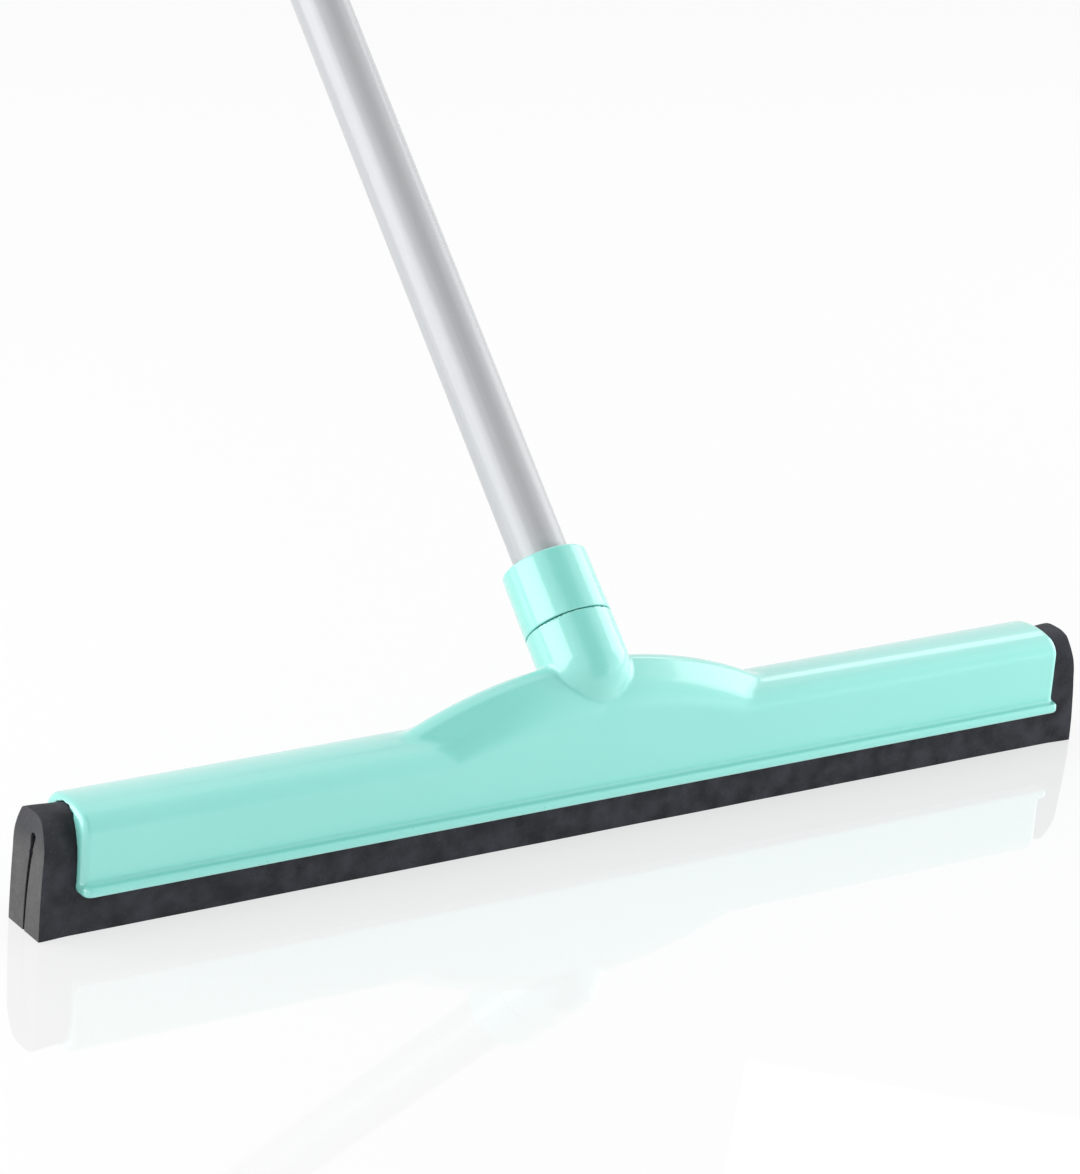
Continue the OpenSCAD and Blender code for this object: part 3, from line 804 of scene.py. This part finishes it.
class SQUEEGEE_OT_hardware(bpy.types.Operator):
    """Dresses the turned and moulded pieces along the pole: tube, collar, grip, collet and plug"""

    bl_idname = "squeegee.hardware"
    bl_label = "Dress the pole and clamp"

    def execute(self, context):
        finishes = {
            "pole_tube": "silver_lacquer",
            "lock_collar": "mint_polypropylene",
            "grip_cap": "mint_polypropylene",
            "clamp_collet": "natural_polypropylene",
            "pole_foot_plug": "natural_polypropylene",
        }
        for node, finish in finishes.items():
            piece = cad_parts[node]
            piece.data.materials.clear()
            piece.data.materials.append(bpy.data.materials[finish])
        return {"FINISHED"}


class SQUEEGEE_OT_stage(bpy.types.Operator):
    """Sets the white floor, the surrounding light, the lamps and the photograph's camera"""

    bl_idname = "squeegee.stage"
    bl_label = "Set the stage"

    def execute(self, context):
        scene = context.scene
        stage = scene.squeegee_stage
        scene.view_settings.view_transform = "Standard"
        corners = [(x * FLOOR_HALF, y * FLOOR_HALF, 0) for x, y in ((-1, -1), (1, -1), (1, 1), (-1, 1))]
        mesh = bpy.data.meshes.new("floor")
        mesh.from_pydata(corners, [], [(0, 1, 2, 3)])
        mesh.materials.append(white_lacquer(stage))
        floor = bpy.data.objects.new("floor", mesh)
        scene.collection.objects.link(floor)
        self.light_round(scene, stage)
        self.lamp(scene, "right_lamp", stage.right_power)
        self.lamp(scene, "left_lamp", stage.left_power)
        self.lamp(scene, "edge_lamp", stage.edge_power)
        fill = self.lamp(scene, "front_fill", stage.fill_power)
        fill.visible_glossy = False
        # The fill stands so low that it would leave a bright patch on the floor
        unlit = bpy.data.collections.new("floor_without_fill")
        unlit.objects.link(floor)
        unlit.collection_objects[0].light_linking.link_state = "EXCLUDE"
        fill.light_linking.receiver_collection = unlit
        self.camera(scene)
        return {"FINISHED"}

    def light_round(self, scene, stage):
        """White for the camera, an even fill, and a dark gap in front that only gloss mirrors."""
        world = bpy.data.worlds.new("studio")
        scene.world = world
        world.use_nodes = True
        tree = world.node_tree
        tree.nodes.clear()
        out = add_node(tree, "ShaderNodeOutputWorld")
        aim = add_node(tree, "ShaderNodeTexCoord").outputs["Generated"]
        across = add_node(tree, "ShaderNodeVectorMath", {0: aim, 1: GAP_ACROSS}, operation="DOT_PRODUCT")
        off = add_node(tree, "ShaderNodeMath", {0: across.outputs["Value"]}, operation="ABSOLUTE")
        beside = add_node(tree, "ShaderNodeMapRange", {
            "Value": off.outputs["Value"], "From Min": GAP_SIDES[0], "From Max": GAP_SIDES[1],
        }, interpolation_type="SMOOTHSTEP")
        depth = add_node(tree, "ShaderNodeSeparateXYZ", {"Vector": aim})
        behind = add_node(tree, "ShaderNodeMapRange", {
            "Value": depth.outputs["Y"], "From Min": GAP_BACK[0], "From Max": GAP_BACK[1],
        }, interpolation_type="SMOOTHSTEP")
        clear = add_node(tree, "ShaderNodeMath", {
            0: beside.outputs["Result"], 1: behind.outputs["Result"],
        }, operation="MAXIMUM")
        path = add_node(tree, "ShaderNodeLightPath")
        mirrored = add_node(tree, "ShaderNodeMapRange", {
            "Value": clear.outputs["Value"], "To Min": stage.mirrored_gap, "To Max": stage.mirrored_round,
        })
        shiny = add_node(tree, "ShaderNodeMath", {
            0: path.outputs["Is Glossy Ray"], 1: path.outputs["Is Transmission Ray"],
        }, operation="MAXIMUM")
        lit = add_node(tree, "ShaderNodeMix", {
            0: shiny.outputs["Value"], 2: stage.ambient, 3: mirrored.outputs["Result"],
        }, data_type="FLOAT")
        strength = add_node(tree, "ShaderNodeMix", {
            0: path.outputs["Is Camera Ray"], 2: lit.outputs[0], 3: 1.0,
        }, data_type="FLOAT")
        glow = add_node(tree, "ShaderNodeBackground", {
            "Color": linear("#FFFFFF"), "Strength": strength.outputs[0],
        })
        tree.links.new(glow.outputs["Background"], out.inputs["Surface"])

    def lamp(self, scene, name, power):
        """A soft rectangular lamp at its place in LAMPS, turned to its aim."""
        place, aim, size = LAMPS[name]
        data = bpy.data.lights.new(name, "AREA")
        data.shape = "RECTANGLE"
        data.size, data.size_y = size
        data.energy = power
        lamp = bpy.data.objects.new(name, data)
        lamp.location = place
        lamp.rotation_euler = (Vector(aim) - Vector(place)).to_track_quat("-Z", "Y").to_euler()
        lamp.visible_camera = False
        scene.collection.objects.link(lamp)
        return lamp

    def camera(self, scene):
        """The photograph's viewpoint, with its slight roll."""
        data = bpy.data.cameras.new("photo_camera")
        data.sensor_width = SENSOR_MM
        data.lens = FOCAL_PX * SENSOR_MM / PHOTO_TALL_PX
        data.clip_end = SIGHT
        camera = bpy.data.objects.new("photo_camera", data)
        right = Vector(CAMERA_RIGHT).normalized()
        back = right.cross(Vector(CAMERA_UP)).normalized()
        up = back.cross(right)
        turn = Matrix((right, up, back)).transposed().to_4x4()
        camera.matrix_world = Matrix.Translation(Vector(EYE) * MM) @ turn
        scene.collection.objects.link(camera)
        scene.camera = camera


class SQUEEGEE_PT_panel(bpy.types.Panel):
    """Sizes, colours and steps of the squeegee"""

    bl_label = "Floor Squeegee"
    bl_idname = "SQUEEGEE_PT_panel"
    bl_space_type = "VIEW_3D"
    bl_region_type = "UI"
    bl_category = "Squeegee"

    def draw(self, context):
        for group in GROUPS:
            settings = getattr(context.scene, group)
            box = self.layout.box()
            for name in settings.__annotations__:
                box.prop(settings, name)
        for step in STEPS:
            self.layout.operator(step.bl_idname)


GROUPS = {
    "squeegee_look": SQUEEGEE_PG_look,
    "squeegee_head": SQUEEGEE_PG_head,
    "squeegee_blade": SQUEEGEE_PG_blade,
    "squeegee_stage": SQUEEGEE_PG_stage,
}
STEPS = (
    SQUEEGEE_OT_finishes, SQUEEGEE_OT_head, SQUEEGEE_OT_blade, SQUEEGEE_OT_hardware, SQUEEGEE_OT_stage,
)


def register():
    for group, kind in GROUPS.items():
        bpy.utils.register_class(kind)
        setattr(bpy.types.Scene, group, bpy.props.PointerProperty(type=kind))
    for kind in STEPS + (SQUEEGEE_PT_panel,):
        bpy.utils.register_class(kind)


def unregister():
    for kind in (SQUEEGEE_PT_panel,) + STEPS[::-1]:
        bpy.utils.unregister_class(kind)
    for group, kind in GROUPS.items():
        delattr(bpy.types.Scene, group)
        bpy.utils.unregister_class(kind)


def main():
    register()
    bpy.ops.squeegee.finishes()
    bpy.ops.squeegee.head()
    bpy.ops.squeegee.blade()
    bpy.ops.squeegee.hardware()
    bpy.ops.squeegee.stage()


if __name__ == "__main__":
    main()
